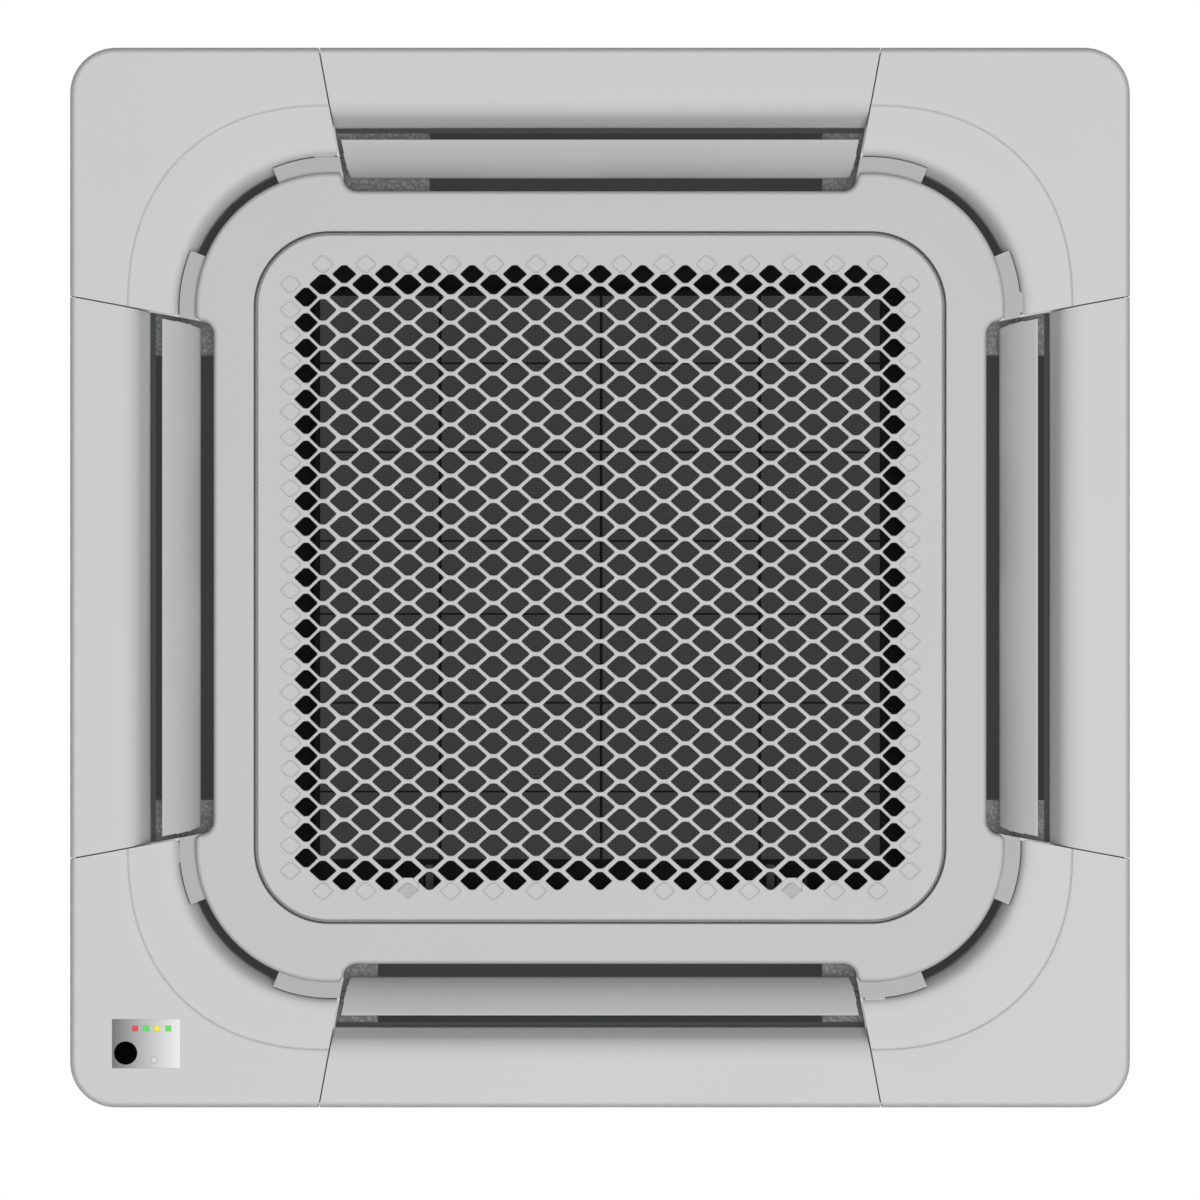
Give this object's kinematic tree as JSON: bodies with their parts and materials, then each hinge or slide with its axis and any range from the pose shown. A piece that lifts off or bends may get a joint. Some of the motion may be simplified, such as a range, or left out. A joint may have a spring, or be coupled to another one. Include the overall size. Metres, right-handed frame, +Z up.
{
  "type": "ceiling cassette air conditioner",
  "caption": "Square four-way ceiling cassette: rolled panel with slanted outlets and louvres, hinged lattice intake grille, corner display, and the casing with fan, coil and drain above it.",
  "frame": {"origin": "middle of the ceiling plane: the panel is below it and the casing above", "axes": "+Z up; +Y towards the grille's latches (front), -Y towards its hinges; the display is at -X, +Y and the pipes leave at -X, -Y"},
  "size_m": [0.95, 0.95, 0.3025],
  "materials": {
    "panel_white": "satin moulded white",
    "grille_white": "fine satin moulded white",
    "blade_white": "satin moulded white",
    "netting": "dark woven netting in a moulded frame",
    "display_smoke": "smooth grey pane",
    "lens_black": "polished dark lens",
    "light_lens": "clear tinted lenses",
    "zinc": "galvanised sheet",
    "foam": "closed-cell foam",
    "pan": "beaded foam",
    "fan_grey": "moulded, matt",
    "motor_can": "painted can",
    "steel": "turned steel",
    "copper": "bright drawn copper",
    "brass": "machined brass",
    "fins": "fin stack",
    "plastic_grey": "moulded, matt",
    "plastic_dark": "moulded, matt",
    "board": "circuit board"
  },
  "bodies": {
    "unit": {"panel_frame": "panel_white", "corner_cover_front_right": "panel_white", "corner_cover_front_left": "panel_white", "corner_cover_rear_left": "panel_white", "corner_cover_rear_right": "panel_white", "display_window": "display_smoke", "display_board": "board", "infrared_receiver": "lens_black", "indicator_lights": "light_lens", "louver_motor_front": "plastic_grey", "louver_motor_left": "plastic_grey", "louver_motor_rear": "plastic_grey", "louver_motor_right": "plastic_grey", "panel_seal": "foam", "side_casing": "zinc", "top_plate": "zinc", "foam_liner": "foam", "hanger_front_left": "zinc", "hanger_front_right": "zinc", "hanger_rear_left": "zinc", "hanger_rear_right": "zinc", "cable_gland": "plastic_dark", "motor_mount": "zinc", "fan_motor": "motor_can", "bellmouth": "plastic_dark", "heat_exchanger": "fins", "coil_plate_inlet": "zinc", "coil_plate_return": "copper", "gas_pipe": "copper", "liquid_pipe": "copper", "flare_nut_gas": "brass", "flare_nut_liquid": "brass", "partition_plate": "zinc", "drain_pan": "pan", "drain_plug": "plastic_dark", "drain_pump": "plastic_grey", "drain_hose": "plastic_grey", "float_guide": "plastic_grey", "control_box": "zinc", "control_board": "board", "terminal_block": "plastic_dark", "control_box_cover": "plastic_dark"},
    "louver_front": {"louver_front": "blade_white"},
    "louver_left": {"louver_left": "blade_white"},
    "louver_rear": {"louver_rear": "blade_white"},
    "louver_right": {"louver_right": "blade_white"},
    "grille": {"intake_grille": "grille_white", "air_filter": "netting"},
    "latch_left": {"latch_left": "grille_white"},
    "latch_right": {"latch_right": "grille_white"},
    "fan": {"turbo_fan": "fan_grey", "fan_nut": "steel", "motor_shaft": "steel"},
    "impeller": {"pump_impeller": "plastic_grey"},
    "float": {"float": "plastic_dark"},
    "button": {"manual_button": "panel_white"}
  },
  "joints": [
    {"name": "louver_front_tilt", "type": "hinge", "parent": "unit", "child": "louver_front", "pos_m": [0, 0.374, -0.017], "axis": [-1, 0, 0], "range_deg": [-50, 18]},
    {"name": "louver_left_tilt", "type": "hinge", "parent": "unit", "child": "louver_left", "pos_m": [-0.374, 0, -0.017], "axis": [0, -1, 0], "range_deg": [-50, 18]},
    {"name": "louver_rear_tilt", "type": "hinge", "parent": "unit", "child": "louver_rear", "pos_m": [0, -0.374, -0.017], "axis": [1, 0, 0], "range_deg": [-50, 18]},
    {"name": "louver_right_tilt", "type": "hinge", "parent": "unit", "child": "louver_right", "pos_m": [0.374, 0, -0.017], "axis": [0, 1, 0], "range_deg": [-50, 18]},
    {"name": "grille_hinge", "type": "hinge", "parent": "unit", "child": "grille", "pos_m": [0, -0.3045, -0.0367], "axis": [-1, 0, 0], "range_deg": [0, 90]},
    {"name": "latch_left_slide", "type": "slide", "parent": "grille", "child": "latch_left", "axis": [0, -1, 0], "range_m": [0, 0.0065], "stiffness_N_per_m": 300, "springref_m": -0.004},
    {"name": "latch_right_slide", "type": "slide", "parent": "grille", "child": "latch_right", "axis": [0, -1, 0], "range_m": [0, 0.0065], "stiffness_N_per_m": 300, "springref_m": -0.004},
    {"name": "fan_spin", "type": "hinge", "parent": "unit", "child": "fan", "pos_m": [0, 0, 0.16], "axis": [0, 0, 1], "continuous": true},
    {"name": "impeller_spin", "type": "hinge", "parent": "unit", "child": "impeller", "pos_m": [-0.297, -0.297, 0.045], "axis": [0, 0, 1], "continuous": true},
    {"name": "float_rise", "type": "slide", "parent": "unit", "child": "float", "axis": [0, 0, 1], "range_m": [0, 0.02]},
    {"name": "button_press", "type": "slide", "parent": "unit", "child": "button", "axis": [0, 0, 1], "range_m": [0, 0.0008], "stiffness_N_per_m": 400, "springref_m": -0.0015}
  ]
}
